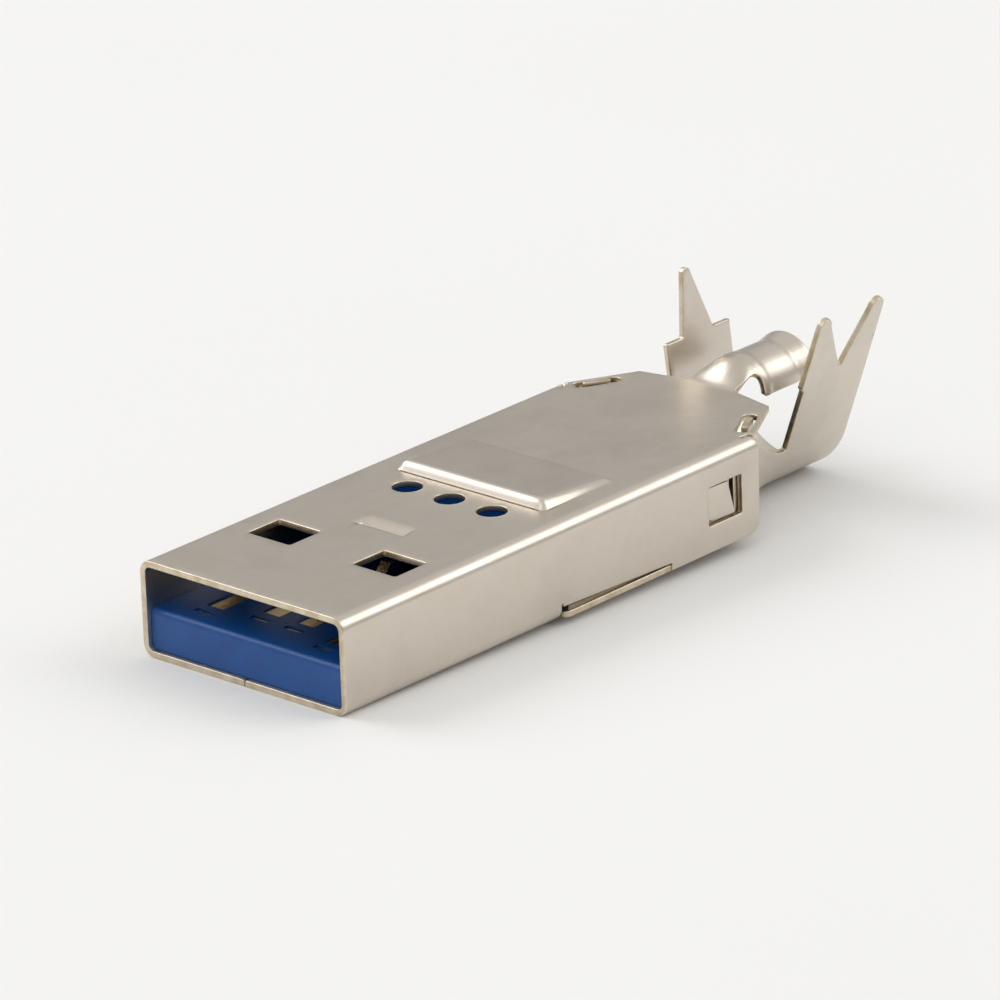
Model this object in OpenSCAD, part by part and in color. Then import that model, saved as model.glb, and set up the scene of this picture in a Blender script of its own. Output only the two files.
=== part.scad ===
// Cable plug with a standard A outline: nine contacts, two clip-together
// sheet-metal shells and an open crimp barrel for the cable.
// Frame: origin at the centre of the mating face, +X back to the cable, +Z up.

/* [Mating tube] */
// Outside width of the shells
shell_w = 12; // [11.8:0.1:12.4]
// Outside height of the shells
shell_h = 4.5; // [4.5:0.05:4.8]
// Thickness of the shell sheet
sheet_t = 0.3; // [0.26:0.01:0.32]
// Outside radius of the bent edges
bend_r = 0.6; // [0.5:0.05:0.7]
// Length of the closed tube
tube_l = 13.9; // [13.8:0.1:14.4]
// Width of the folded seam under the tube
seam_gap = 0.08; // [0.06:0.01:0.12]

/* [Latch windows] */
// Front edge of the windows behind the mating face
window_x = 5.1; // [4.8:0.1:5.4]
// Length of a window
window_l = 2; // [1.8:0.1:2.3]
// Width of a window
window_w = 2.5; // [2.2:0.1:2.7]
// Gap between the two windows
window_gap = 3.7; // [3.3:0.1:4.1]

/* [Top features] */
// Middle of the pressed-in bar behind the mating face
bar_x = 9.3; // [9:0.1:9.8]
// Length of the pressed-in bar across the plug
bar_w = 3; // [2.4:0.1:3.4]
// Row of holes behind the mating face
hole_x = 13.4; // [13.3:0.05:13.5]
// Diameter of a hole
hole_d = 1.4; // [1.1:0.1:1.6]
// Pitch of the holes
hole_pitch = 2.5; // [2.2:0.1:2.8]
// Front foot of the raised pad
pad_x = 14.65; // [14.6:0.05:15.2]
// Length of the raised pad at its foot
pad_l = 4.7; // [4.2:0.1:5.2]
// Width of the raised pad at its foot
pad_w = 8.8; // [8:0.1:9.4]
// Height of the raised pad at its front
pad_h = 0.45; // [0.3:0.05:0.5]
// Height of the raised pad at its back
pad_back_h = 0.12; // [0.08:0.02:0.2]

/* [Rear cover] */
// End of the side walls behind the mating face
wall_end = 27.35; // [27:0.05:27.8]
// Length of the top plate past the side walls
plate_past = 3.3; // [3:0.1:3.6]
// Width of the top plate at its rear corners
plate_rear_w = 7.7; // [7.2:0.1:8.2]
// Length of the clip slots beside the rear corners
slot_l = 2.3; // [2:0.1:2.5]
// Width of the clip slots
slot_w = 0.7; // [0.6:0.05:0.8]
// Length of the side latch windows
latch_l = 2.3; // [2:0.1:2.5]
// Height of the side latch windows
latch_h = 1.85; // [1.6:0.05:2]
// Lower edge of the side latch windows above the base
latch_z = 1.25; // [1.1:0.05:1.4]

/* [Cable saddle] */
// Width of the neck that carries the saddle
neck_w = 2.6; // [2.2:0.1:2.8]
// Outside radius of the arched saddle
saddle_r = 1.65; // [1.5:0.05:1.8]
// Length of the saddle
saddle_l = 3.5; // [3:0.1:4]
// Height of the saddle's axis above the base
saddle_z = 3.74; // [3.6:0.02:3.9]

/* [Crimp barrel] */
// Front edge of the barrel behind the mating face
barrel_x = 32.3; // [32:0.1:32.6]
// Length of the barrel
barrel_l = 4.4; // [4.2:0.1:4.8]
// Outside radius of the barrel's round bottom
barrel_r = 3.5; // [3.3:0.05:3.7]
// Height of the barrel's axis above the base
barrel_z = 2.6; // [2.5:0.05:2.8]
// Outward lean of the forked wing
fork_lean = 20; // [16:1:22]
// Outward lean of the spiked wing
spike_lean = 7; // [5:1:11]
// Height of the wing roots above the base
root_z = 5.4; // [5.2:0.1:5.8]
// Height of the fork and the spike above their roots
prong_h = 3.1; // [2.7:0.1:3.4]

/* [Contact carrier] */
// Set-back of the tongue from the mating face
tongue_back = 0.25; // [0.15:0.05:0.4]
// Height of the tongue's top above the base
tongue_z = 2.2; // [2.1:0.05:2.3]
// Depth of the mouth over the tongue
mouth_l = 11.9; // [11.6:0.1:12.2]
// Rear end of the carrier's body
carrier_end = 17.7; // [17.4:0.1:18]
// Clearance between pieces that fit together
fit = 0.02; // [0.01:0.005:0.03]

/* [Contacts] */
// Width of a flat contact
flat_w = 1; // [0.9:0.05:1.1]
// Thickness of a flat contact
flat_t = 0.2; // [0.16:0.01:0.22]
// Spacing of the inner two flat contacts
inner_pitch = 2; // [1.9:0.05:2.1]
// Spacing of the outer two flat contacts
outer_pitch = 7; // [6.8:0.05:7.2]
// Front tip of the outer contacts
outer_tip = 1.2; // [1:0.05:1.4]
// Front tip of the inner contacts
inner_tip = 2.05; // [1.8:0.05:2.3]
// Width of a spring contact
spring_w = 0.6; // [0.5:0.05:0.7]
// Thickness of a spring contact
spring_t = 0.15; // [0.12:0.01:0.17]
// Pitch of the spring contacts
spring_pitch = 2; // [1.9:0.05:2.1]
// Rear end of the solder tails
tail_end = 20.9; // [20.5:0.1:21.1]

/* [Hidden] */
$fn = 48;
eps = 0.01;
skin = 0.04;
steel = [0.78, 0.75, 0.70];
blue = [0.0, 0.28, 0.57];
black = [0.10, 0.10, 0.11];
gold = [0.83, 0.68, 0.40];

// Inside of the tube
in_w = shell_w - 2 * sheet_t;
in_h = shell_h - 2 * sheet_t;
in_r = bend_r - sheet_t;
roof_z = shell_h - sheet_t;

// Top plate behind the side walls
plate_w = shell_w - 2 * bend_r + 0.4;
plate_end = wall_end + plate_past;
plate_tip = plate_end + 0.5;
slot_mid = [wall_end + 1, plate_w / 2 - 1.15];
chamfer_a = atan2((plate_w - plate_rear_w) / 2, plate_past);

// Lower shell
lower_front = tube_l + 0.25;
lip_end = 21.2;
lip_step = 0.08;
wall_rise = 0.32;
lower_w = in_w - 4 * fit;
lower_top = roof_z - 0.25;
lower_end = wall_end - 0.2;

// Saddle and neck of the upper shell
saddle_x = plate_end + 2.35;
flare_l = 0.9;
flare_h = 0.15;

// Contacts: levels, lips and the bar that holds each flat tip down
flat_z = tongue_z - 0.08;
flat_tail_z = 1.3;
lip_l = 0.26;
dip_run = 0.14;
dip_h = 0.28;
hold_l = 0.3;
dive_x = 7.3;
dive_l = 1;
spring_tip = 8.5;
spring_bump_z = 2.87;
spring_tail_z = 2.78;
block_front = 14.4;
shelf_end = tail_end + 0.3;
tip_fall = 0.06;

function mix(a, b, s) = a + (b - a) * s;
function ease(s) = s * s * (3 - 2 * s);
function strip(top, t) = concat(top,
    [for (i = [len(top) - 1:-1:0]) [top[i][0], top[i][1] - t]]);
function lifted(path, h) = [for (p = path) [p[0], p[1] + h]];

// Extrusions of a flat outline along each axis, from a start over a length
module along_x(x0, l) translate([x0, 0, 0]) rotate([90, 0, 90]) linear_extrude(l) children();
module along_y(y0, l) translate([0, y0 + l, 0]) rotate([90, 0, 0]) linear_extrude(l) children();
module along_z(z0, l) translate([0, 0, z0]) linear_extrude(l) children();

// The pieces are drawn above their base, then set about the mating face's centre
module seated() translate([0, 0, -shell_h / 2]) children();
module both_sides() { children(); mirror([0, 1, 0]) children(); }

// Rounded rectangle, centred across and standing on its lower edge
module round_rect(w, h, r) {
    translate([-w / 2 + r, 0]) square([w - 2 * r, h]);
    translate([-w / 2, r]) square([w, h - 2 * r]);
    for (y = [-w / 2 + r, w / 2 - r], z = [r, h - r]) translate([y, z]) circle(r);
}

module tube_inside() translate([0, sheet_t]) round_rect(in_w, in_h, in_r);

module tube_section() difference() {
    round_rect(shell_w, shell_h, bend_r);
    tube_inside();
}

module cover_section() difference() {
    union() {
        round_rect(shell_w, shell_h, bend_r);
        translate([-shell_w / 2, 0]) square([shell_w, shell_h / 2]);
    }
    tube_inside();
    translate([-in_w / 2, -1]) square([in_w, 1 + shell_h / 2]);
}

// ---- upper shell ----

// Pair of latch windows, through the sheet at the given height
module latch_windows(z0) for (s = [-1, 1])
    translate([window_x + window_l / 2, s * (window_gap + window_w) / 2, z0 - 1])
        linear_extrude(2) translate([0, -window_w / 2]) round_rect(window_l, window_w, 0.12);

// Straight seam under the tube with two dovetails
module dovetail(x0, g, y0) polygon([[x0 + 0.3 - g, y0], [x0 - g, 1.1 + g],
    [x0 + 1.8 + g, 1.1 + g], [x0 + 1.5 + g, y0]]);

module seam() along_z(-1, 1.5) difference() {
    union() {
        translate([-1, -seam_gap / 2]) square([tube_l + 2, seam_gap]);
        for (x = [2, tube_l - 3.8]) dovetail(x, seam_gap / 2, -seam_gap / 2);
    }
    for (x = [2, tube_l - 3.8]) dovetail(x, -seam_gap / 2, -seam_gap);
}

// Wedge of the pressed-in bar: a sharp front step and a floor that slopes up again
module bar_wedge(grow, top) along_y(-bar_w / 2 - grow, bar_w + 2 * grow)
    polygon([[bar_x - 0.45 - grow, top], [bar_x + 0.65 + grow, top],
        [bar_x + 0.65 + grow, shell_h + 0.01 - grow], [bar_x - 0.35, shell_h - 0.22 - grow],
        [bar_x - 0.45 - grow, shell_h - 0.22 - grow]]);

// Raised pad: a block with sloped ends and sloped flanks
module pad(drop, inset, z0) intersection() {
    along_y(-pad_w, 2 * pad_w) polygon([[pad_x + inset, z0],
        [pad_x + inset, shell_h - drop], [pad_x + inset + 0.35, shell_h + pad_h - drop],
        [pad_x + pad_l - inset - 0.15, shell_h + pad_back_h - drop],
        [pad_x + pad_l - inset, shell_h - drop], [pad_x + pad_l - inset, z0]]);
    along_x(pad_x - 1, pad_l + 2) polygon([[-pad_w / 2 + inset, z0],
        [-pad_w / 2 + inset, shell_h - drop], [-pad_w / 2 + inset + 0.35, shell_h + pad_h - drop],
        [pad_w / 2 - inset - 0.35, shell_h + pad_h - drop],
        [pad_w / 2 - inset, shell_h - drop], [pad_w / 2 - inset, z0]]);
}

// Top plate past the walls: clipped corners and a shallow point at the neck
module rear_plate() along_z(roof_z, sheet_t) polygon([
    [wall_end - 1, -plate_w / 2 + 0.3], [wall_end - eps, -plate_w / 2 + 0.3],
    [wall_end + 0.1, -plate_w / 2], [plate_end, -plate_rear_w / 2], [plate_tip, -neck_w / 2 - 0.2],
    [plate_tip, neck_w / 2 + 0.2], [plate_end, plate_rear_w / 2], [wall_end + 0.1, plate_w / 2],
    [wall_end - eps, plate_w / 2 - 0.3], [wall_end - 1, plate_w / 2 - 0.3]]);

// Clip slot beside each clipped corner
module clip_slot() translate([slot_mid[0], slot_mid[1], roof_z - 1])
    rotate([0, 0, -chamfer_a]) linear_extrude(2) {
        translate([-(slot_l - slot_w) / 2, -slot_w / 2]) square([slot_l - slot_w, slot_w]);
        for (s = [-1, 1]) translate([s * (slot_l - slot_w) / 2, 0]) circle(slot_w / 2);
    }

// Short slit that frees the side bend from the top plate
module bend_relief() translate([wall_end - 0.6, plate_w / 2 - 0.28, roof_z - 0.3])
    cube([0.75, 0.13, 1]);

// What the walls lose at their lower edge, and their rounded rear corners
module wall_trim() along_y(-shell_w, 2 * shell_w) {
    polygon([[tube_l, -1], [tube_l, 0.75], [tube_l + 0.12, 0.75],
        [tube_l + 0.12, sheet_t + wall_rise], [lip_end + lip_step, sheet_t + 0.05],
        [lip_end + lip_step, -1]]);
    polygon([[wall_end - 0.75, -1], [wall_end - 0.75, 0], [wall_end - 0.22, 0.22],
        [wall_end, 0.75], [wall_end + 1, 0.75], [wall_end + 1, -1]]);
}

module side_windows() translate([wall_end - 3.5 + latch_l / 2, -shell_w, latch_z])
    rotate([-90, 0, 0]) mirror([0, 1, 0]) linear_extrude(2 * shell_w)
        round_rect(latch_l, latch_h, 0.12);

// Neck: one sheet that leaves the plate flat and arches up into the saddle.
// A ring is outer points from side to side, then the inner ones back again.
neck_rows = 10;
neck_cols = 8;
neck_a = asin(neck_w / 2 / saddle_r);
neck_x0 = plate_tip - 0.25;
neck_x1 = saddle_x + 0.15;
function neck_pt(s, v, skin) =
    let (flat_p = [v * (neck_w / 2 + 0.1 * (1 - s)), shell_h - skin],
         r = saddle_r - skin,
         arch_p = [r * sin(v * neck_a), saddle_z + r * cos(v * neck_a)],
         k = ease(min(1, s * 1.25)))
    [mix(neck_x0, neck_x1, s), mix(flat_p[0], arch_p[0], k), mix(flat_p[1], arch_p[1], k)];

module neck() skin_mesh([for (i = [0:neck_rows]) concat(
    [for (j = [0:neck_cols]) neck_pt(i / neck_rows, 1 - 2 * j / neck_cols, skin)],
    [for (j = [neck_cols:-1:0]) neck_pt(i / neck_rows, 1 - 2 * j / neck_cols,
        sheet_t - skin)])]);

// Closed sheet over a row of rings. Each ring runs along the outer skin and back
// along the inner one, so a point j faces point n - 1 - j across the sheet.
function split(a, b, c, d) = [[a, b, c], [a, c, d]];
module skin_mesh(rings) {
    n = len(rings[0]);
    last = len(rings) - 1;
    polyhedron(points = [for (r = rings, p = r) p], faces = [
        for (i = [0:last - 1], j = [0:n - 1], f = split(i * n + j, (i + 1) * n + j,
            (i + 1) * n + (j + 1) % n, i * n + (j + 1) % n)) f,
        for (j = [0:n / 2 - 2], f = split(j, j + 1, n - 2 - j, n - 1 - j)) f,
        for (j = [0:n / 2 - 2], f = split(last * n + n - 1 - j, last * n + n - 2 - j,
            last * n + j + 1, last * n + j)) f], convexity = 6);
}

// Arched saddle with a bell mouth at its rear edge
module saddle() translate([saddle_x, 0, saddle_z]) rotate([90, 0, 90]) rotate_extrude(angle = 180)
    polygon([[saddle_r - sheet_t, 0], [saddle_r, 0], [saddle_r, saddle_l - flare_l],
        [saddle_r + 0.05, saddle_l - flare_l / 2], [saddle_r + flare_h, saddle_l],
        [saddle_r + flare_h - sheet_t, saddle_l], [saddle_r + 0.05 - sheet_t, saddle_l - flare_l / 2],
        [saddle_r - sheet_t, saddle_l - flare_l]]);

module upper_shell() color(steel) seated() {
    difference() {
        union() {
            along_x(0, tube_l) tube_section();
            along_x(tube_l, wall_end - tube_l) cover_section();
            rear_plate();
            pad(0, 0, shell_h - sheet_t / 2);
            bar_wedge(0.2, shell_h - sheet_t / 2);
        }
        pad(sheet_t, 0.15, roof_z - 0.5);
        bar_wedge(0, shell_h + 0.5);
        latch_windows(0);
        latch_windows(roof_z);
        seam();
        for (i = [-1:1]) translate([hole_x, i * hole_pitch, roof_z - 1]) cylinder(d = hole_d, h = 2);
        wall_trim();
        side_windows();
        both_sides() { clip_slot(); bend_relief(); }
    }
    neck();
    saddle();
}

// ---- lower shell ----

// Folded tray: rounded lower corners and open on top
module tray_section() difference() {
    union() {
        translate([-lower_w / 2, bend_r]) square([lower_w, lower_top - bend_r]);
        translate([-lower_w / 2 + bend_r, 0]) square([lower_w - 2 * bend_r, bend_r]);
        for (s = [-1, 1]) translate([s * (lower_w / 2 - bend_r), bend_r]) circle(bend_r);
    }
    translate([0, sheet_t]) round_rect(lower_w - 2 * sheet_t, lower_top, in_r);
}

// Lip under the side walls, flush with their outside
module lip() along_z(0, sheet_t) difference() {
    translate([lower_front, -shell_w / 2]) square([lip_end - lower_front, shell_w]);
    both_sides() translate([lower_front, shell_w / 2 - 0.3]) difference() {
        translate([-eps, 0]) square([0.3, 0.3 + eps]);
        translate([0.3, 0]) circle(0.3);
    }
}

// Latch flap: hinged at its front, sprung outwards into the side window
flap_x = wall_end - 3.5 + 0.12;
flap_l = latch_l - 0.52;
module flap_outline(y_out) polygon([[flap_x - 0.3, lower_w / 2 - sheet_t],
    [flap_x, lower_w / 2 - sheet_t], [flap_x + flap_l, y_out - sheet_t],
    [flap_x + flap_l, y_out], [flap_x + 0.35, lower_w / 2], [flap_x - 0.3, lower_w / 2]]);

module latch_flap() intersection() {
    along_z(latch_z + 0.12, latch_h - 0.24) flap_outline(shell_w / 2 - 0.08);
    along_y(0, shell_w) polygon([[flap_x - 1, 0], [flap_x + flap_l, 0],
        [flap_x + flap_l, latch_z + 0.12], [flap_x + flap_l - 0.42, latch_z + latch_h],
        [flap_x - 1, shell_h]]);
}

module flap_hole() translate([flap_x, 0, latch_z + 0.04])
    cube([latch_l - 0.4, shell_w, latch_h - 0.08]);

// Trough from the tray to the barrel: [x, half width, corner radius, base, top, sheet]
// Its ends lie a skin inside the sheet that they join.
function trough() = [
    [lower_end - 0.3, lower_w / 2 - skin, bend_r - skin, skin, lower_top - skin, sheet_t - 2 * skin],
    [lower_end + 0.1, lower_w / 2 - skin, bend_r - skin, skin, lower_top - skin, sheet_t - 2 * skin],
    [wall_end + 0.2, slot_mid[1] + 0.6, 0.7, 0, lower_top, sheet_t],
    [slot_mid[0], slot_mid[1] + sheet_t / 2, 0.9, -0.02, lower_top - 0.1, sheet_t],
    [slot_mid[0] + 1.1, mix(slot_mid[1], barrel_r, 0.6), 1.4, -0.1, 3.3, sheet_t],
    [barrel_x - 1.8, barrel_r + 0.1, 2.1, -0.4, 2.4, sheet_t],
    [barrel_x - 0.7, barrel_r, 3, barrel_z - barrel_r + 0.12, 1.9, sheet_t],
    [barrel_x - 0.1, barrel_r - skin, barrel_r - 0.09, barrel_z - barrel_r + skin, 1.75,
        sheet_t - 2 * skin],
    [barrel_x + 0.2, barrel_r - skin, barrel_r - 0.09, barrel_z - barrel_r + skin, 1.7,
        sheet_t - 2 * skin]];
trough_flat = 3;
trough_arc = 8;

// Half profile of one station, from the middle of the floor to the top of the side
function half_profile(s, skin) =
    let (w = s[1], r = s[2], zb = s[3], arc_top = min(zb + r, s[4] - 0.3),
         a1 = asin((arc_top - zb - r) / r), q = r - skin,
         end = [w - r + q * cos(a1), zb + r + q * sin(a1)], run = (s[4] - arc_top) / cos(a1))
    concat([for (i = [0:trough_flat - 1]) [(w - r) * i / trough_flat, zb + skin]],
        [for (i = [0:trough_arc]) let (a = mix(-90, a1, i / trough_arc))
            [w - r + q * cos(a), zb + r + q * sin(a)]],
        [end + run * [-sin(a1), cos(a1)]]);
function reversed(v) = [for (i = [len(v) - 1:-1:0]) v[i]];
function at_x(x, v, side) = [for (p = v) [x, side * p[0], p[1]]];
function without_first(v) = [for (i = [1:len(v) - 1]) v[i]];
function trough_ring(s) =
    let (out = half_profile(s, 0), inn = half_profile(s, s[5]))
    concat(at_x(s[0], reversed(out), -1), at_x(s[0], without_first(out), 1),
        at_x(s[0], reversed(inn), 1), at_x(s[0], without_first(inn), -1));

module trough_mesh() skin_mesh([for (s = trough()) trough_ring(s)]);

// Tab that stands up from the trough's side into the clip slot
module clip_tab() translate([slot_mid[0], slot_mid[1], 3])
    rotate([0, 0, -chamfer_a]) translate([-0.75, -sheet_t / 2 + 0.03, 0])
        cube([1.5, sheet_t - 0.06, shell_h + 0.08 - 3]);

// Side views of the wings: a spike with shoulders, and a fork
barrel_end = barrel_x + barrel_l;
wing_mid = barrel_x + barrel_l / 2;
spike_top = root_z + prong_h - 0.35;
spike_tip_r = 0.3;
fork_tip_r = 0.43;
fork_top = root_z + prong_h - fork_tip_r;

module spike_view() {
    polygon([[barrel_x, -2], [barrel_end, -2], [barrel_end, root_z - 0.1],
        [wing_mid + 1.05, root_z - 0.1], [wing_mid, spike_top],
        [wing_mid - 2 * spike_tip_r, spike_top], [wing_mid - 1.05, root_z - 0.1],
        [barrel_x, root_z - 0.1]]);
    translate([wing_mid - spike_tip_r, spike_top]) circle(spike_tip_r);
}

module fork_view() {
    polygon([[barrel_x, -2], [barrel_end, -2], [barrel_end - 0.05, fork_top],
        [barrel_end - 0.05 - 2 * fork_tip_r, fork_top], [wing_mid + 0.22, root_z + 0.1],
        [wing_mid - 0.02, root_z + 0.1], [barrel_x - 0.18 + 2 * fork_tip_r, fork_top],
        [barrel_x - 0.18, fork_top], [barrel_x - 0.2, root_z - 0.4],
        [barrel_x, root_z - 0.6]]);
    translate([barrel_end - 0.05 - fork_tip_r, fork_top]) circle(fork_tip_r);
    translate([barrel_x - 0.18 + fork_tip_r, fork_top]) circle(fork_tip_r);
}

// Barrel: round bottom with one straight wing on each side
module barrel_bottom() translate([barrel_x, 0, barrel_z]) rotate([90, 0, 90])
    rotate([0, 0, 180 + fork_lean]) rotate_extrude(angle = 180 - fork_lean - spike_lean)
        translate([barrel_r - sheet_t, 0]) square([sheet_t, barrel_l]);

wing_skin = 0.015;
wing_root = 0.25;
module wing(lean) translate([barrel_x - 1, 0, barrel_z]) rotate([90, 0, 90]) rotate([0, 0, -lean])
    translate([barrel_r - sheet_t + wing_skin, -wing_root, 0])
        cube([sheet_t - 2 * wing_skin, 9, barrel_l + 2]);

module barrel() {
    barrel_bottom();
    intersection() {
        wing(spike_lean);
        along_y(0, 12) spike_view();
    }
    intersection() {
        mirror([0, 1, 0]) wing(fork_lean);
        along_y(-12, 12) fork_view();
    }
}

module lower_shell() color(steel) seated() {
    difference() {
        union() {
            along_x(lower_front + 0.6, lower_end - lower_front - 0.6) tray_section();
            lip();
        }
        both_sides() flap_hole();
    }
    both_sides() { latch_flap(); clip_tab(); }
    trough_mesh();
    barrel();
}

// ---- contacts ----

// Top line of a flat contact: lip, dip under the holding bar, pad, dive, tail
function flat_path(tip) =
    let (a = tip + lip_l, b = a + dip_run, c = b + hold_l, d = c + dip_run)
    [[tip, flat_z - tip_fall], [tip + tip_fall, flat_z], [a, flat_z], [b, flat_z - dip_h],
        [c, flat_z - dip_h], [d, flat_z], [dive_x, flat_z], [dive_x + dive_l, flat_tail_z],
        [tail_end, flat_tail_z]];

// Top line of a spring contact: hooked tip, bump, beam, tail
function spring_path() = [[spring_tip, 2.12], [spring_tip + 0.65, spring_bump_z],
    [spring_tip + 0.85, spring_bump_z], [spring_tip + 1.9, 2.55], [mouth_l + 0.1, spring_tail_z],
    [tail_end, spring_tail_z]];

module flat_contact(y, tip) color(gold) seated()
    along_y(y - flat_w / 2, flat_w) polygon(strip(flat_path(tip), flat_t));

module spring_contact(i) color(gold) seated()
    along_y(i * spring_pitch - spring_w / 2, spring_w) polygon(strip(spring_path(), spring_t));

// Room for a flat contact: its own path with clearance, open above the lip and the pad
module flat_room(y, tip) {
    a = tip + lip_l;
    d = a + 2 * dip_run + hold_l;
    along_y(y - flat_w / 2 - fit, flat_w + 2 * fit) {
        polygon(strip(lifted(concat([[tip - fit, flat_z - tip_fall]], flat_path(tip),
            [[carrier_end + 5, flat_tail_z]]), fit), flat_t + 2 * fit));
        translate([tip - fit, flat_z - flat_t - fit]) square([lip_l + fit + 0.05, 1]);
        translate([d - 0.05, flat_z - flat_t / 2]) square([dive_x - d + 0.2, 1]);
    }
}

// Room for a spring contact: hook pocket in the tongue, slot through the body
module spring_room(i) {
    y0 = i * spring_pitch - spring_w / 2 - 2 * fit;
    along_y(y0, spring_w + 4 * fit) {
        translate([spring_tip - 0.15, 2.12 - spring_t - 0.06])
            square([mouth_l - spring_tip + 0.1, 1]);
        translate([mouth_l - 1, 2.4]) square([carrier_end - mouth_l + 2, spring_bump_z - 2.4 + 0.05]);
    }
}

module flat_rooms() for (s = [-1, 1]) {
    flat_room(s * outer_pitch / 2, outer_tip);
    flat_room(s * inner_pitch / 2, inner_tip);
}

module power_contact() flat_contact(-outer_pitch / 2, outer_tip);
module data_minus_contact() flat_contact(-inner_pitch / 2, inner_tip);
module data_plus_contact() flat_contact(inner_pitch / 2, inner_tip);
module ground_contact() flat_contact(outer_pitch / 2, outer_tip);
module receive_minus_contact() spring_contact(-2);
module receive_plus_contact() spring_contact(-1);
module drain_contact() spring_contact(0);
module transmit_minus_contact() spring_contact(1);
module transmit_plus_contact() spring_contact(2);

// ---- plastic pieces ----

carrier_w = in_w - 2 * fit;
rear_w = lower_w - 2 * sheet_t - 2 * fit;
carrier_z = sheet_t + fit;
tongue_edge_r = 0.35;
block_w = 9.6;
block_base = 2.34;

// Tongue seen from the side, with its front upper edge rounded
module tongue_view() {
    translate([tongue_back, carrier_z])
        square([mouth_l - tongue_back + 1, tongue_z - tongue_edge_r - carrier_z]);
    translate([tongue_back + tongue_edge_r, carrier_z])
        square([mouth_l - tongue_back + 1 - tongue_edge_r, tongue_z - carrier_z]);
    translate([tongue_back + tongue_edge_r, tongue_z - tongue_edge_r]) circle(tongue_edge_r);
}

module contact_carrier() color(blue) seated() difference() {
    union() {
        intersection() {
            along_y(-carrier_w / 2, carrier_w) tongue_view();
            along_x(0, mouth_l + 1) translate([0, carrier_z])
                round_rect(carrier_w, in_h - 2 * fit, in_r);
        }
        along_x(mouth_l, tube_l - mouth_l) translate([0, carrier_z])
            round_rect(carrier_w, in_h - 2 * fit, in_r);
        along_x(tube_l - eps, carrier_end - tube_l + eps) translate([0, carrier_z])
            round_rect(rear_w, in_h - 2 * fit, in_r);
    }
    flat_rooms();
    for (i = [-2:2]) spring_room(i);
    // wells under the round holes
    for (i = [-1:1]) translate([hole_x, i * hole_pitch, 3.2]) cylinder(d = hole_d + 0.1, h = 2);
    // seat of the terminal block
    translate([block_front - fit, -block_w / 2 - fit, block_base - fit])
        cube([carrier_end, block_w + 2 * fit, shell_h]);
}

module terminal_block() color(black) seated() difference() {
    union() {
        translate([block_front, -block_w / 2, block_base])
            cube([carrier_end + fit - block_front, block_w, roof_z - fit - block_base]);
        translate([carrier_end + fit, -block_w / 2, flat_tail_z + fit])
            cube([shelf_end - carrier_end - fit, block_w, spring_tail_z - spring_t - flat_tail_z - 2 * fit]);
    }
    for (i = [-2:2])
        translate([block_front - 1, i * spring_pitch - spring_w / 2 - fit, spring_tail_z - spring_t - fit])
            cube([carrier_end - block_front + 2, spring_w + 2 * fit, spring_t + 2 * fit]);
}

upper_shell();
lower_shell();
contact_carrier();
terminal_block();
power_contact();
data_minus_contact();
data_plus_contact();
ground_contact();
receive_minus_contact();
receive_plus_contact();
drain_contact();
transmit_minus_contact();
transmit_plus_contact();
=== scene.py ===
import math

import bmesh
import bpy
import numpy as np
from mathutils import Matrix, Vector
from mathutils.geometry import delaunay_2d_cdt
from mathutils.kdtree import KDTree


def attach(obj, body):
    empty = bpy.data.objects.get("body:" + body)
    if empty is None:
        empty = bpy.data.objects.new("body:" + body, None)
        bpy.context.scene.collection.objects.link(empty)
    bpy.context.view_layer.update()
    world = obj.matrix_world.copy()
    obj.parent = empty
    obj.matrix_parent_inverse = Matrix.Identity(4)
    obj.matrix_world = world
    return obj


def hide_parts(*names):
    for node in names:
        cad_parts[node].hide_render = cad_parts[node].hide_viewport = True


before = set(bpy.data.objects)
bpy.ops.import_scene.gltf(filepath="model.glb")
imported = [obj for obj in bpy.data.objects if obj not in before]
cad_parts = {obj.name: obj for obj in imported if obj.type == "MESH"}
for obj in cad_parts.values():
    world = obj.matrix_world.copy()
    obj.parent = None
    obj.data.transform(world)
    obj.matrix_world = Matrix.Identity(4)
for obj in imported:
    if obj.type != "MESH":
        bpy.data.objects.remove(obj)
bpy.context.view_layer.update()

mm = 0.001
scene = bpy.context.scene

# camera
camera = {"place": (-226.77, -222.77, 128.62), "turn": 42.46, "tilt": 21.12, "roll": -2.11,
          "lens": 288.0, "sensor": 36.0}


def addCamera(c):
    turn, tilt, roll = (math.radians(c[k]) for k in ("turn", "tilt", "roll"))
    back = Vector((-math.cos(turn) * math.cos(tilt), -math.sin(turn) * math.cos(tilt), math.sin(tilt)))
    side = (-back).cross(Vector((0, 0, 1))).normalized()
    rise = side.cross(-back)
    sideRolled = side * math.cos(roll) + rise * math.sin(roll)
    riseRolled = rise * math.cos(roll) - side * math.sin(roll)
    lens = bpy.data.cameras.new("camera")
    lens.lens, lens.sensor_width = c["lens"], c["sensor"]
    obj = bpy.data.objects.new("camera", lens)
    scene.collection.objects.link(obj)
    turnMatrix = Matrix((sideRolled, riseRolled, back)).transposed().to_4x4()
    obj.matrix_world = Matrix.Translation(Vector(c["place"]) * mm) @ turnMatrix
    scene.camera = obj


addCamera(camera)
scene.view_settings.view_transform = "Standard"
print("camera placed")


# node helpers
def newMaterial(name):
    mat = bpy.data.materials.new(name)
    mat.use_nodes = True
    tree = mat.node_tree
    return mat, tree, tree.nodes["Principled BSDF"]


def objectPoint(tree, scale):
    coord = tree.nodes.new("ShaderNodeTexCoord")
    mapping = tree.nodes.new("ShaderNodeMapping")
    mapping.inputs["Scale"].default_value = scale
    tree.links.new(coord.outputs["Object"], mapping.inputs["Vector"])
    return mapping.outputs["Vector"]


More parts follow.
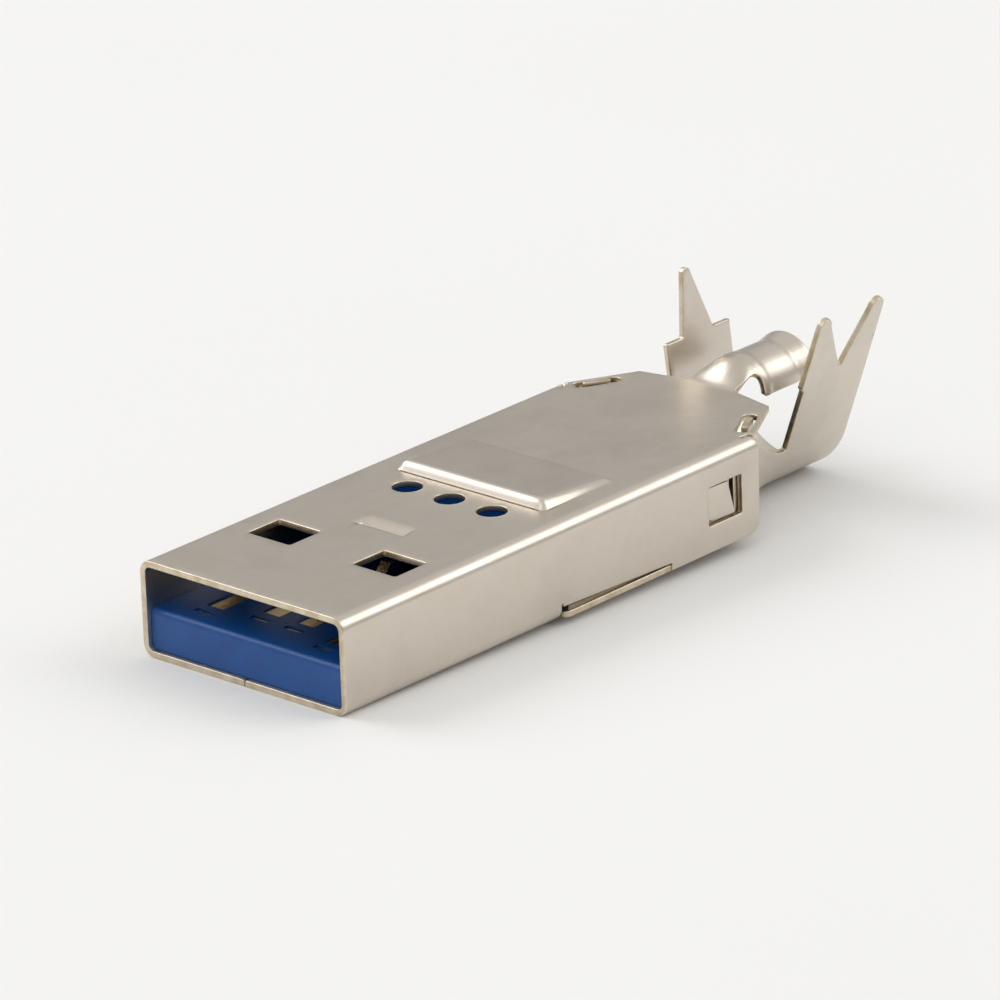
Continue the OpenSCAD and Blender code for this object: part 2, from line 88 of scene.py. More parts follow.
def noise(tree, point, scale, detail=2.0, rough=0.5):
    node = tree.nodes.new("ShaderNodeTexNoise")
    node.inputs["Scale"].default_value = scale
    node.inputs["Detail"].default_value = detail
    node.inputs["Roughness"].default_value = rough
    tree.links.new(point, node.inputs["Vector"])
    return node.outputs["Fac"]


def ramp(tree, fac, stops):
    node = tree.nodes.new("ShaderNodeValToRGB")
    band = node.color_ramp
    while len(band.elements) < len(stops):
        band.elements.new(0.5)
    for element, (at, colour) in zip(band.elements, stops):
        element.position = at
        element.color = (*colour, 1.0)
    tree.links.new(fac, node.inputs["Fac"])
    return node.outputs["Color"]


def spread(tree, fac, low, high):
    node = tree.nodes.new("ShaderNodeMapRange")
    node.inputs["From Min"].default_value = 0.25
    node.inputs["From Max"].default_value = 0.75
    node.inputs["To Min"].default_value = low
    node.inputs["To Max"].default_value = high
    tree.links.new(fac, node.inputs["Value"])
    return node.outputs["Result"]


def bump(tree, shader, heights):
    last = None
    for height, strength, distance in heights:
        node = tree.nodes.new("ShaderNodeBump")
        node.inputs["Strength"].default_value = strength
        node.inputs["Distance"].default_value = distance
        tree.links.new(height, node.inputs["Height"])
        if last is not None:
            tree.links.new(last, node.inputs["Normal"])
        last = node.outputs["Normal"]
    tree.links.new(last, shader.inputs["Normal"])


# finishes
plating = {"dull": (0.62, 0.56, 0.485), "clean": (0.68, 0.62, 0.545), "warm": (0.66, 0.59, 0.50),
           "roughLow": 0.27, "roughHigh": 0.38, "grainStrength": 0.07, "peelStrength": 0.05}
cutEdge = {"dark": (0.58, 0.48, 0.33), "pale": (0.74, 0.65, 0.51), "rough": 0.38}
bluePlastic = {"body": (0.0, 0.072, 0.30), "deep": (0.0, 0.058, 0.25), "rough": 0.36}
blackPlastic = {"deep": (0.008, 0.008, 0.009), "body": (0.020, 0.020, 0.022), "rough": 0.5}
goldStrip = {"body": (0.80, 0.60, 0.30), "worn": (0.66, 0.50, 0.30), "rough": 0.28}


def platedSheet(p):
    mat, tree, shader = newMaterial("platedSheet")
    along = objectPoint(tree, (260, 1500, 1500))  # rolling marks run along the plug
    patchy = objectPoint(tree, (1, 1, 1))
    grain = noise(tree, along, 3.0, 6.0, 0.65)
    cloud = noise(tree, patchy, 230.0, 4.0, 0.6)
    peel = noise(tree, patchy, 2400.0, 3.0, 0.6)
    tree.links.new(ramp(tree, cloud, [(0.30, p["dull"]), (0.52, p["clean"]), (0.74, p["warm"])]),
                   shader.inputs["Base Color"])
    shader.inputs["Metallic"].default_value = 1.0
    tree.links.new(spread(tree, grain, p["roughLow"], p["roughHigh"]), shader.inputs["Roughness"])
    bump(tree, shader, [(grain, p["grainStrength"], 0.00002), (peel, p["peelStrength"], 0.00002)])
    return mat


def cutSheet(p):
    mat, tree, shader = newMaterial("cutSheet")
    tear = noise(tree, objectPoint(tree, (1, 1, 1)), 1500.0, 3.0, 0.55)
    tree.links.new(ramp(tree, tear, [(0.34, p["dark"]), (0.60, p["pale"])]), shader.inputs["Base Color"])
    shader.inputs["Metallic"].default_value = 1.0
    shader.inputs["Roughness"].default_value = p["rough"]
    bump(tree, shader, [(tear, 0.25, 0.00002)])
    return mat


def mouldedBlue(p):
    mat, tree, shader = newMaterial("mouldedBlue")
    point = objectPoint(tree, (1, 1, 1))
    flow = noise(tree, objectPoint(tree, (0.35, 1, 1)), 900.0, 3.0, 0.55)
    fine = noise(tree, point, 5200.0, 2.0, 0.5)
    tree.links.new(ramp(tree, flow, [(0.3, p["deep"]), (0.7, p["body"])]), shader.inputs["Base Color"])
    tree.links.new(spread(tree, fine, p["rough"] - 0.05, p["rough"] + 0.08), shader.inputs["Roughness"])
    bump(tree, shader, [(flow, 0.08, 0.00003), (fine, 0.15, 0.00001)])
    return mat


def mouldedBlack(p):
    mat, tree, shader = newMaterial("mouldedBlack")
    fine = noise(tree, objectPoint(tree, (1, 1, 1)), 4200.0, 3.0, 0.6)
    tree.links.new(ramp(tree, fine, [(0.3, p["deep"]), (0.7, p["body"])]),
                   shader.inputs["Base Color"])
    shader.inputs["Roughness"].default_value = p["rough"]
    bump(tree, shader, [(fine, 0.3, 0.00002)])
    return mat


def goldFlash(p):
    mat, tree, shader = newMaterial("goldFlash")
    streak = noise(tree, objectPoint(tree, (200, 1600, 1600)), 3.0, 5.0, 0.6)
    tree.links.new(ramp(tree, streak, [(0.3, p["worn"]), (0.65, p["body"])]), shader.inputs["Base Color"])
    shader.inputs["Metallic"].default_value = 1.0
    tree.links.new(spread(tree, streak, p["rough"] - 0.06, p["rough"] + 0.10), shader.inputs["Roughness"])
    bump(tree, shader, [(streak, 0.12, 0.00002)])
    return mat


sheetSkin = platedSheet(plating)
sheetEdge = cutSheet(cutEdge)
blue = mouldedBlue(bluePlastic)
black = mouldedBlack(blackPlastic)
gold = goldFlash(goldStrip)
print("finishes made")


# sheet-metal builder
def ease(s):
    s = np.clip(s, 0.0, 1.0)
    return s * s * (3 - 2 * s)


def turnOf(loop):
    a = np.asarray(loop, float)
    b = np.roll(a, -1, 0)
    return 0.5 * np.sum(a[:, 0] * b[:, 1] - b[:, 0] * a[:, 1])


def resampled(loop, step):
    out = []
    for a, b in zip(loop, loop[1:] + loop[:1]):
        n = max(1, math.ceil(math.dist(a, b) / step))
        out += [(a[0] + (b[0] - a[0]) * i / n, a[1] + (b[1] - a[1]) * i / n) for i in range(n)]
    return np.array(out)


def inwardOf(loop):
    # unit steps into the material, which lies to the left of the loop
    ahead = np.roll(loop, -1, 0) - loop
    ahead /= np.linalg.norm(ahead, axis=1)[:, None]
    behind = np.roll(ahead, 1, 0)
    left = np.stack([-(ahead + behind)[:, 1], (ahead + behind)[:, 0]], 1)
    left /= np.maximum(np.linalg.norm(left, axis=1), 1e-6)[:, None]
    cosHalf = np.clip(np.sum(left * np.stack([-ahead[:, 1], ahead[:, 0]], 1), 1), 0.45, 1)
    return left / cosHalf[:, None]


def insideLoops(points, loops):
    inside = np.zeros(len(points), bool)
    px, py = points[:, 0], points[:, 1]
    for loop in loops:
        for (ax, ay), (bx, by) in zip(loop, np.roll(loop, -1, 0)):
            if ay == by:
                continue
            crosses = (ay > py) != (by > py)
            inside ^= crosses & (px < (bx - ax) * (py - ay) / (by - ay) + ax)
    return inside


def bentSheet(mesh, loops, fold, thick, edgeR, xLines, uLines, step=0.12, clear=0.075):
    # flat pattern -> two skins and rounded cut edges, bent by fold(x, u) -> middle of the sheet
    paths = []
    for i, loop in enumerate(loops):
        loop = [tuple(p) for p in loop]
        if (turnOf(loop) > 0) != (i == 0):
            loop.reverse()
        paths.append(resampled(loop, step))
    inward = [inwardOf(p) for p in paths]
    rims = [p + n * edgeR for p, n in zip(paths, inward)]
    tree = KDTree(sum(len(r) for r in rims))
    count = 0
    for r in rims:
        for p in r:
            tree.insert((p[0], p[1], 0), count)
            count += 1
    tree.balance()
    grid = np.array([(x, u) for x in xLines for u in uLines])
    grid = grid[insideLoops(grid, rims)]
    grid = np.array([g for g in grid if tree.find((g[0], g[1], 0))[2] > clear])
    flat = np.concatenate(rims + ([grid] if len(grid) else []))
    links, start = [], 0
    for r in rims:
        links += [(start + i, start + (i + 1) % len(r)) for i in range(len(r))]
        start += len(r)
    out = delaunay_2d_cdt([Vector(p) for p in flat], links, [], 0, 1e-7, True)
    source = [ids[0] if ids else -1 for ids in out[3]]
    tris = np.array([[source[v] for v in f] for f in out[2] if all(source[v] >= 0 for v in f)])
    centres = flat[tris].mean(1)
    tris = tris[insideLoops(centres, rims)]

    def placed(points, depth):
        e = 0.004  # probe length for the sheet's own slope
        x, u = points[:, 0], points[:, 1]
        mid = fold(x, u)
        across = np.cross(fold(x + e, u) - fold(x - e, u), fold(x, u + e) - fold(x, u - e))
        across /= np.linalg.norm(across, axis=1)[:, None]
        return (mid + across * (thick / 2 - depth)) * mm

    turns = [math.radians(a) for a in (30, 60, 90)]
    rings = [(edgeR * (1 - math.sin(a)), edgeR * (1 - math.cos(a))) for a in turns]
    rings += [(inset, thick - depth) for inset, depth in reversed(rings)]
    skins = [mesh.verts.new(p) for p in placed(flat, 0.0)]
    inner = [mesh.verts.new(p) for p in placed(flat, thick)]
    for a, b, c in tris:
        mesh.faces.new((skins[a], skins[b], skins[c]))
        mesh.faces.new((inner[c], inner[b], inner[a]))
    start = 0
    for path, into in zip(paths, inward):
        n = len(path)
        rows = [skins[start:start + n]]
        for inset, depth in rings:
            rows.append([mesh.verts.new(p) for p in placed(path + into * inset, depth)])
        rows.append(inner[start:start + n])
        for k in range(len(rows) - 1):
            for i in range(n):
                j = (i + 1) % n
                face = mesh.faces.new((rows[k][i], rows[k + 1][i], rows[k + 1][j], rows[k][j]))
                face.material_index = 1 if 1 <= k <= len(rows) - 3 else 0
        start += n


def finishSheet(name, mesh, nodes):
    bmesh.ops.recalc_face_normals(mesh, faces=mesh.faces)
    for f in mesh.faces:
        f.smooth = True
    data = bpy.data.meshes.new(name)
    mesh.to_mesh(data)
    mesh.free()
    obj = bpy.data.objects.new(name, data)
    scene.collection.objects.link(obj)
    data.materials.append(sheetSkin)
    data.materials.append(sheetEdge)
    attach(obj, "root")
    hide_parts(*nodes)
    return obj


def arcPoints(cx, cy, r, start, end, count):
    return [(cx + r * math.cos(math.radians(start + (end - start) * i / count)),
             cy + r * math.sin(math.radians(start + (end - start) * i / count))) for i in range(count + 1)]


def roundedBox(x0, x1, u0, u1, r):
    return (arcPoints(x1 - r, u1 - r, r, 0, 90, 5) + arcPoints(x0 + r, u1 - r, r, 90, 180, 5)
            + arcPoints(x0 + r, u0 + r, r, 180, 270, 5) + arcPoints(x1 - r, u0 + r, r, 270, 360, 5))


def lines(*spans):
    # grid lines: (from, to, spacing) spans in order
    out = []
    for a, b, gap in spans:
        n = max(1, round((b - a) / gap))
        out += [a + (b - a) * i / n for i in range(n)]
    return out + [spans[-1][1]]


# upper shell
sheetT = 0.3
upper = {"halfW": 5.85, "halfH": 2.10, "bend": 0.45, "tubeEnd": 13.9, "wallEnd": 27.35,
         "lipEnd": 21.28, "edge": 0.05, "seam": 0.04,
         "padX": (14.65, 15.05), "padBack": (19.15, 19.4), "padHalf": (3.95, 4.4), "padH": 0.43,
         "barX": (8.85, 9.95), "barHalf": 1.5, "barDeep": 0.22,
         "mouthX": 35.6, "mouthFlare": 0.16,
         "neckX": (30.95, 32.75), "saddleX": 33.0, "saddleEnd": 36.5, "saddleR": 1.5, "saddleTop": 2.99}
topFlat = upper["halfW"] - upper["bend"]
bendLen = upper["bend"] * math.pi / 2
wallLen = 2 * upper["halfH"] - 2 * upper["bend"]
wallStart = topFlat + bendLen
halfRound = 2 * wallStart + wallLen


def wallU(z):
    return wallStart + upper["halfH"] - upper["bend"] - z


def foldUpper(x, u):
    p = upper
    s, side = np.abs(u), np.sign(u)
    r, w, h = p["bend"], p["halfW"], p["halfH"]
    flat = (s <= topFlat) | (x > p["wallEnd"] + 0.02)
    a1 = (s - topFlat) / r
    y = np.where(flat, s, np.where(s < wallStart, topFlat + r * np.sin(np.clip(a1, 0, 1.6)), w))
    z = np.where(flat, h, np.where(s < wallStart, h - r + r * np.cos(np.clip(a1, 0, 1.6)),
                                   h - r - (s - wallStart)))
    low = wallStart + wallLen
    tube = (x <= p["tubeEnd"] + 0.02) & ~flat
    a2 = np.clip((s - low) / r, 0, math.pi / 2)
    y = np.where(tube & (s > low), w - r + r * np.cos(a2) - np.maximum(s - low - bendLen, 0), y)
    z = np.where(tube & (s > low), -h + r - r * np.sin(a2), z)
    # raised pad: steep in front, falling away to the back
    rise = ease((x - p["padX"][0]) / (p["padX"][1] - p["padX"][0]))
    fall = 1 - ease((x - p["padBack"][0]) / (p["padBack"][1] - p["padBack"][0]))
    slope = 1 - 0.72 * np.clip((x - p["padX"][1]) / (p["padBack"][0] - p["padX"][1]), 0, 1)
    flank = 1 - ease((s - p["padHalf"][0]) / (p["padHalf"][1] - p["padHalf"][0]))
    z = z + np.where(flat, p["padH"] * rise * fall * slope * flank, 0)
    # pressed-in bar: sharp front step, floor sloping up to the back
    reach = 1 - ease((s - p["barHalf"] + 0.35) / 0.35)
    step = ease((x - p["barX"][0] + 0.05) / 0.08)
    ramped = np.clip((p["barX"][1] - x) / (p["barX"][1] - p["barX"][0]), 0, 1)
    z = z - np.where(flat, p["barDeep"] * reach * step * ease(ramped), 0)
    # neck and saddle: the plate arches up to a half round
    k = ease((x - p["neckX"][0]) / (p["neckX"][1] - p["neckX"][0]))
    mouth = p["mouthFlare"] * np.clip((x - p["mouthX"]) / (p["saddleEnd"] - p["mouthX"]), 0, 1) ** 1.3
    shoulder = 0.05 * np.exp(-((x - 33.25) / 0.22) ** 2) - 0.03 * np.exp(-((x - 35.5) / 0.16) ** 2)
    bow = np.maximum(k, 1e-4) / p["saddleR"]
    angle = s * bow
    radius = 1 / bow + np.where(k > 0.99, mouth + shoulder, 0)
    top = h + (p["saddleTop"] - h) * k + np.where(k > 0.99, mouth + shoulder, 0)
    rear = x > p["neckX"][0]
    y = np.where(rear, radius * np.sin(angle), y)
    z = np.where(rear, top - radius * (1 - np.cos(angle)), z)
    return np.stack([x, side * y, z], 1)


def upperOutline():
    p = upper
    seamU = halfRound - p["seam"]
    end, tubeEnd = p["wallEnd"], p["tubeEnd"]
    saddleHalf = p["saddleR"] * math.pi / 2
    tongue = 1.1

    def dovetails(sign):  # a tongue on one edge of the seam and its socket on the other
        out = []
        for x0 in (2.0, tubeEnd - 3.8):
            if sign < 0:
                out += [(x0 + 0.34, seamU), (x0 + 0.04, seamU + 2 * p["seam"] + tongue - 0.08),
                        (x0 + 1.76, seamU + 2 * p["seam"] + tongue - 0.08), (x0 + 1.46, seamU)]
            else:
                out += [(x0 + 0.26, seamU), (x0 - 0.04, seamU - tongue), (x0 + 1.84, seamU - tongue),
                        (x0 + 1.54, seamU)]
        return out

    def half(sign):
        rows = [(0.0, seamU)] + dovetails(sign) + [(tubeEnd, seamU), (tubeEnd, wallU(-1.5))]
        rows += [(tubeEnd + 0.12, wallU(-1.5)), (tubeEnd + 0.12, wallU(-1.63)), (p["lipEnd"], wallU(-1.9)),
                 (p["lipEnd"], wallU(-2.25))]
        rows += arcPoints(end - 0.75, wallU(-2.25) - 0.75, 0.75, 90, 0, 8)
        rows += [(end, 5.75), (end - 0.08, 5.52), (end - 0.55, 5.47)]
        rows += [(end - 0.62, 5.40), (end - 0.55, 5.33), (end + 0.02, 5.34), (end + 0.10, 5.58)]
        rows += [(30.65, 3.85), (31.10, 1.72)]
        rows += arcPoints(31.45, 1.65, 0.35, 180, 270, 5)
        rows += [(32.55, 1.30)] + arcPoints(32.7, 1.60, 0.3, -90, 0, 5)
        rows += [(p["saddleX"], saddleHalf - 0.1), (p["saddleX"] + 0.1, saddleHalf)]
        rows += [(p["saddleEnd"] - 0.1, saddleHalf), (p["saddleEnd"], saddleHalf - 0.1)]
        return rows

    plus = half(1)
    minus = [(x, -u) for x, u in half(-1)]
    return plus + minus[::-1]


def slotLoop(cx, cu, length, width, degrees):
    r = width / 2
    pts = arcPoints(length / 2 - r, 0, r, -90, 90, 8) + arcPoints(-length / 2 + r, 0, r, 90, 270, 8)
    c, s = math.cos(math.radians(degrees)), math.sin(math.radians(degrees))
    return [(cx + c * x - s * y, cu + s * x + c * y) for x, y in pts]


def buildUpper():
    windows = {"x": (5.1, 7.1), "u": (1.85, 4.35), "corner": 0.12}
    holes = {"x": 13.4, "pitch": 2.5, "r": 0.7}
    sideWindow = {"x": (23.85, 26.15), "z": (-1.0, 0.85), "corner": 0.12}
    clipSlot = {"x": 28.35, "u": 4.45, "length": 2.3, "width": 0.7, "turn": 28.9}
    barHole = {"x": 8.98, "u": 1.22, "r": 0.1}
    loops = [upperOutline()]
    for sign in (-1, 1):
        for near, far in (windows["u"], (halfRound - windows["u"][1], halfRound - windows["u"][0])):
            loops.append(roundedBox(*windows["x"], *sorted((sign * near, sign * far)), windows["corner"]))
        us = sorted((sign * wallU(sideWindow["z"][0]), sign * wallU(sideWindow["z"][1])))
        loops.append(roundedBox(*sideWindow["x"], *us, sideWindow["corner"]))
        loops.append(slotLoop(clipSlot["x"], sign * clipSlot["u"], clipSlot["length"], clipSlot["width"],
                              -sign * clipSlot["turn"]))
    for i in (-1, 0, 1):
        loops.append(arcPoints(holes["x"], i * holes["pitch"], holes["r"], 0, 348, 29))
    loops.append(arcPoints(barHole["x"], barHole["u"], barHole["r"], 0, 330, 11))
    bends = [(0, 5.35, 0.35), (5.35, 6.15, 0.09), (6.15, 9.35, 0.35), (9.35, 10.15, 0.09),
             (10.15, halfRound, 0.35)]
    half = lines(*bends)
    uLines = sorted(set([round(v, 4) for v in half + [-v for v in half]
                         + list(np.arange(-4.5, -3.9, 0.08)) + list(np.arange(3.98, 4.5, 0.08))
                         + list(np.arange(-2.3, 2.31, 0.2)) + [-1.6, -1.45, -1.3, -1.15, 1.15, 1.3, 1.45]]))
    uLines = [v for i, v in enumerate(uLines) if i == 0 or v - uLines[i - 1] > 0.03]
    xLines = lines((0.1, 8.7, 0.4), (8.7, 10.1, 0.09), (10.1, 14.5, 0.4), (14.5, 15.2, 0.07),
                   (15.2, 19.0, 0.35), (19.0, 19.6, 0.08), (19.6, 30.6, 0.4), (30.6, 36.45, 0.14))
    mesh = bmesh.new()
    bentSheet(mesh, loops, foldUpper, sheetT, upper["edge"], xLines, uLines)
    return finishSheet("upperShell", mesh, ["upper_shell"])


upperShell = buildUpper()
print("upper shell bent:", len(upperShell.data.polygons), "faces")

# lower shell
# stations along the plug: x, half width, corner radius, base height, all of the outside
lower = {"front": 14.15, "wallFront": 14.75, "lipEnd": 21.2, "edge": 0.05, "barrelX": 32.3, "barrelL": 4.4,
         "forkLean": 20.0, "spikeLean": 7.0, "spikeRoot": 3.05, "spikeTop": 5.90,
         "forkRoot": 3.25, "forkTop": 5.82, "prongR": 0.43, "notchR": 0.13, "spikeR": 0.28,
         "flatHalf": 5.06, "wallZ": 1.70, "tab": (27.75, 28.95), "tabZ": 2.33,
         "stations": [(14.0, 5.66, 0.60, -2.25), (27.15, 5.66, 0.60, -2.25), (27.60, 5.05, 0.70, -2.25),
                      (28.35, 4.60, 0.90, -2.27), (29.45, 3.88, 1.40, -2.35), (30.50, 3.60, 2.10, -2.65),
                      (31.60, 3.50, 3.00, -3.03), (32.25, 3.50, 3.49, -3.15), (37.0, 3.50, 3.49, -3.15)],
         "wallTop": [(14.0, 1.70), (27.55, 1.70), (28.35, 1.60), (29.45, 1.05), (30.50, 0.15),
                     (31.60, -0.35), (32.25, -0.50), (37.0, -0.50)]}


def smoothAlong(x, table, column):
    t = np.array(table)
    x = np.asarray(x, float)
    total = np.zeros_like(x)
    for shift, weight in ((-0.35, 0.15), (-0.18, 0.22), (0, 0.26), (0.18, 0.22), (0.35, 0.15)):
        total += weight * np.interp(x + shift, t[:, 0], t[:, column])
    return total


def sideTurn(x, plus):
    lean = np.where(plus, lower["spikeLean"], lower["forkLean"])
    return np.radians(90 - lean * ease((np.asarray(x, float) - 28.0) / 4.2))


def sectionOf(x, plus):
    w = smoothAlong(x, lower["stations"], 1) - sheetT / 2
    r = smoothAlong(x, lower["stations"], 2) - sheetT / 2
    z = smoothAlong(x, lower["stations"], 3) + sheetT / 2
    return w - r, r, z, sideTurn(x, plus)


def foldLower(x, u):
    s, plus = np.abs(u), u >= 0
    f, r, z0, turn = sectionOf(x, plus)
    a = np.clip((s - f) / r, 0, turn)
    run = np.maximum(s - f - r * turn, 0)
    y = np.minimum(s, f) + r * np.sin(a) + run * np.cos(turn)
    z = z0 + r * (1 - np.cos(a)) + run * np.sin(turn)
    out = latchPush(x, s)
    y = y + out
    return np.stack([x, np.where(plus, y, -y), z], 1)


flap = {"x": 23.97, "end": 25.75, "slant": 0.42, "out": 0.26, "z": (-0.88, 0.73), "slit": 0.06,
        "back": 25.95}


def latchPush(x, s):
    f, r, z0, turn = sectionOf(x, True)
    z = z0 + r + s - f - r * math.pi / 2
    on = (z > flap["z"][0] - 0.02) & (z < flap["z"][1] + 0.02) & (x > flap["x"]) & (x < flap["end"] + 0.02)
    return np.where(on, flap["out"] * ease((x - flap["x"]) / 0.5) * 0.5
                    + flap["out"] * 0.5 * np.clip((x - flap["x"]) / (flap["end"] - flap["x"]), 0, 1), 0)


def reachU(x, z, plus):
    f, r, z0, turn = (float(v) for v in sectionOf(x, plus))
    if z < z0 + r * (1 - math.cos(turn)):
        return f + r * math.acos(max(-1.0, 1 - (z - z0) / r))
    return f + r * turn + (z - z0 - r * (1 - math.cos(turn))) / math.sin(turn)


def wingView(rows, plus):
    return [(x, reachU(x, z, plus)) for x, z in rows]


def spikeRows():
    end = lower["barrelX"] + lower["barrelL"]
    mid = lower["barrelX"] + lower["barrelL"] / 2
    root, top = lower["spikeRoot"], lower["spikeTop"]
    rows = [(lower["barrelX"], root), (mid - 1.05, root)]
    rows += arcPoints(mid - 0.3, top, lower["spikeR"], 180, 0, 8)
    rows += [(mid + 1.05, root), (end, root), (end, root - 1)]
    return rows


def forkRows():
    x0 = lower["barrelX"]
    end, mid = x0 + lower["barrelL"], x0 + lower["barrelL"] / 2
    root, top = lower["forkRoot"], lower["forkTop"]
    rows = [(x0, root - 0.7), (x0 - 0.2, root - 0.5)]
    rows += arcPoints(x0 + 0.25, top, lower["prongR"], 180, 0, 9)
    rows += arcPoints(mid + 0.10, root + 0.12, lower["notchR"], 190, 350, 5)
    rows += arcPoints(end - 0.48, top, lower["prongR"], 180, 0, 9)
    rows += [(end, root - 1)]
    return rows


def lowerHalf(plus):
    p = lower
    rows = [(p["front"], p["flatHalf"]), (p["wallFront"], p["flatHalf"]),
            (p["wallFront"], reachU(15.0, p["wallZ"], plus))]
    tops = np.array(p["wallTop"])
    for x in np.arange(27.0, 27.7, 0.15):
        rows.append((x, reachU(x, p["wallZ"], plus)))
    tab = p["tab"]  # stands up into the clip slot
    rows.append((tab[0], reachU(tab[0], float(np.interp(tab[0], tops[:, 0], tops[:, 1])), plus)))
    for x in np.linspace(tab[0] + 0.05, tab[1] - 0.05, 7):
        rows.append((x, reachU(x, p["tabZ"], plus)))
    for x in np.arange(tab[1], p["barrelX"] - 0.1, 0.2):
        rows.append((x, reachU(x, float(np.interp(x, tops[:, 0], tops[:, 1])), plus)))
    rows.append((p["barrelX"], reachU(p["barrelX"], -0.45, plus)))
    rows += wingView(spikeRows() if plus else forkRows(), plus)
    return rows


def latchSlit(sign):
    zLow, zHigh = flap["z"]
    gap, x0, back = flap["slit"], flap["x"], flap["back"]

    def at(x, z):
        return (x, sign * reachU(24.0, z, True))
    rows = [at(x0, zHigh + gap), at(back, zHigh + gap), at(back, zLow - gap), at(x0, zLow - gap)]
    rows += [at(x0 - 0.04, zLow - gap / 2), at(x0, zLow)]
    rows += [at(flap["end"], zLow), at(flap["end"] - flap["slant"], zHigh), at(x0, zHigh)]
    rows += [at(x0 - 0.04, zHigh + gap / 2)]
    return rows


def buildLower():
    plus = lowerHalf(True)
    minus = [(x, -u) for x, u in lowerHalf(False)]
    loops = [plus + minus[::-1], latchSlit(1), latchSlit(-1)]
    half = lines((0, 4.9, 0.4), (4.9, 6.1, 0.1), (6.1, 12.6, 0.25))
    uLines = sorted(set(half + [-v for v in half]))
    xLines = lines((14.25, 23.8, 0.45), (23.8, 26.0, 0.15), (26.0, 27.0, 0.3), (27.0, 32.4, 0.15),
                   (32.4, 36.6, 0.3))
    mesh = bmesh.new()
    bentSheet(mesh, loops, foldLower, sheetT, lower["edge"], xLines, uLines)
    for sign in (-1, 1):  # lip strips under the side walls
        strip = [(p[0], sign * p[1]) for p in
                 [(lower["front"] + 0.02, 4.9), (lower["lipEnd"], 4.9), (lower["lipEnd"], 6.0)]
                 + arcPoints(lower["front"] + 0.35, 5.65, 0.35, 90, 180, 6)]
        bentSheet(mesh, [strip], lambda x, u: np.stack([x, u, np.full_like(x, -2.098)], 1), sheetT - 0.004,
                  lower["edge"], lines((14.3, 21.1, 0.5)), [s * sign for s in (5.1, 5.4, 5.7, 5.9)])
    return finishSheet("lowerShell", mesh, ["lower_shell"])


lowerShell = buildLower()
print("lower shell bent:", len(lowerShell.data.polygons), "faces")


# moulded pieces and contacts
def softened(name, node, finish, width):
    # the solid's own faces, joined where they are flat, with rounded edges
    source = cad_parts[node]
    mesh = bmesh.new()
    mesh.from_mesh(source.data)
    bmesh.ops.remove_doubles(mesh, verts=mesh.verts, dist=1e-7)
    bmesh.ops.dissolve_limit(mesh, angle_limit=math.radians(1.5), verts=mesh.verts, edges=mesh.edges)
    data = bpy.data.meshes.new(name)
    mesh.to_mesh(data)
    mesh.free()
    obj = bpy.data.objects.new(name, data)
    scene.collection.objects.link(obj)
    rounding = obj.modifiers.new("rounding", "BEVEL")
    rounding.width = width * mm
    rounding.segments = 2
    rounding.limit_method = "ANGLE"
    rounding.angle_limit = math.radians(32)
    rounding.use_clamp_overlap = True
    data.materials.append(finish)
    for f in data.polygons:
        f.use_smooth = False
    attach(obj, "root")
    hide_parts(node)
    return obj


softened("contactCarrier", "contact_carrier", blue, 0.04)
softened("terminalBlock", "terminal_block", black, 0.05)
for node in sorted(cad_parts):
    if node.endswith("_contact"):
        label = "".join(w if i == 0 else w.capitalize() for i, w in enumerate(node.split("_")))
        softened(label, node, gold, 0.03)
print("moulded pieces and contacts rounded")

# studio
studio = {"floorColour": (0.90, 0.90, 0.895), "floorSize": 3.0, "floorTilt": 0.9 / 36.7, "floorTop": -2.255,
          "skyHigh": 0.74, "skyLow": 0.44, "skyFrom": 0.30, "skyTo": 0.62,
          "lamps": [("lampLeft", (-0.15, 0.62, 0.52), 0.55, 2.3),
                    ("lampRight", (0.50, -0.42, 0.46), 0.50, 1.3),
                    ("lampFront", (-0.60, -0.10, 0.65), 0.60, 0.7)]}


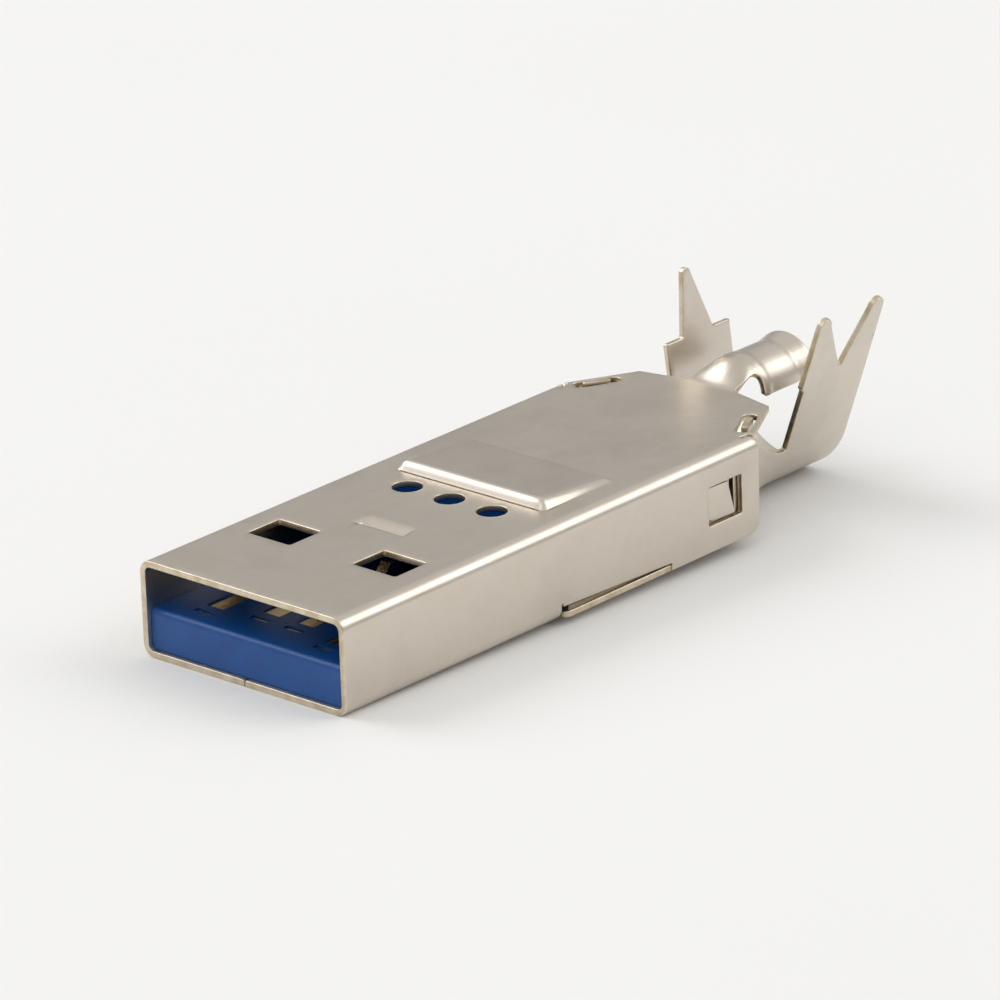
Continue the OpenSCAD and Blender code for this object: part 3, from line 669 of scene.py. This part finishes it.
def addFloor(p):
    mat, tree, shader = newMaterial("paleFloor")
    soft = noise(tree, objectPoint(tree, (1, 1, 1)), 18.0, 2.0, 0.5)
    c = p["floorColour"]
    worn = tuple(v * 0.985 for v in c)
    tree.links.new(ramp(tree, soft, [(0.3, worn), (0.7, c)]), shader.inputs["Base Color"])
    shader.inputs["Roughness"].default_value = 0.85
    shader.inputs["Specular IOR Level"].default_value = 0.2
    half, tilt = p["floorSize"], p["floorTilt"]
    mesh = bpy.data.meshes.new("floor")
    square = ((-half, -half), (half, -half), (half, half), (-half, half))
    corners = [(x, y, p["floorTop"] * mm - x * tilt) for x, y in square]
    mesh.from_pydata(corners, [], [(0, 1, 2, 3)])
    floor = bpy.data.objects.new("floor", mesh)
    scene.collection.objects.link(floor)
    mesh.materials.append(mat)


def addSky(p):
    world = bpy.data.worlds.new("studioSky")
    scene.world = world
    world.use_nodes = True
    tree = world.node_tree
    back = tree.nodes["Background"]
    coord = tree.nodes.new("ShaderNodeTexCoord")
    split = tree.nodes.new("ShaderNodeSeparateXYZ")
    tree.links.new(coord.outputs["Generated"], split.inputs["Vector"])
    span = tree.nodes.new("ShaderNodeMapRange")
    span.interpolation_type = "SMOOTHSTEP"
    span.inputs["From Min"].default_value = p["skyFrom"]
    span.inputs["From Max"].default_value = p["skyTo"]
    span.inputs["To Min"].default_value = p["skyLow"]
    span.inputs["To Max"].default_value = p["skyHigh"]
    tree.links.new(split.outputs["Z"], span.inputs["Value"])
    tree.links.new(span.outputs["Result"], back.inputs["Strength"])
    back.inputs["Color"].default_value = (1.0, 0.99, 0.97, 1)


def addLamps(p):
    for name, place, size, power in p["lamps"]:
        light = bpy.data.lights.new(name, "AREA")
        light.shape, light.size, light.energy = "SQUARE", size, power
        obj = bpy.data.objects.new(name, light)
        scene.collection.objects.link(obj)
        obj.location = place
        obj.rotation_euler = (Vector((0.018, 0, 0)) - Vector(place)).to_track_quat("-Z", "Y").to_euler()


addFloor(studio)
addSky(studio)
addLamps(studio)
print("studio lit")
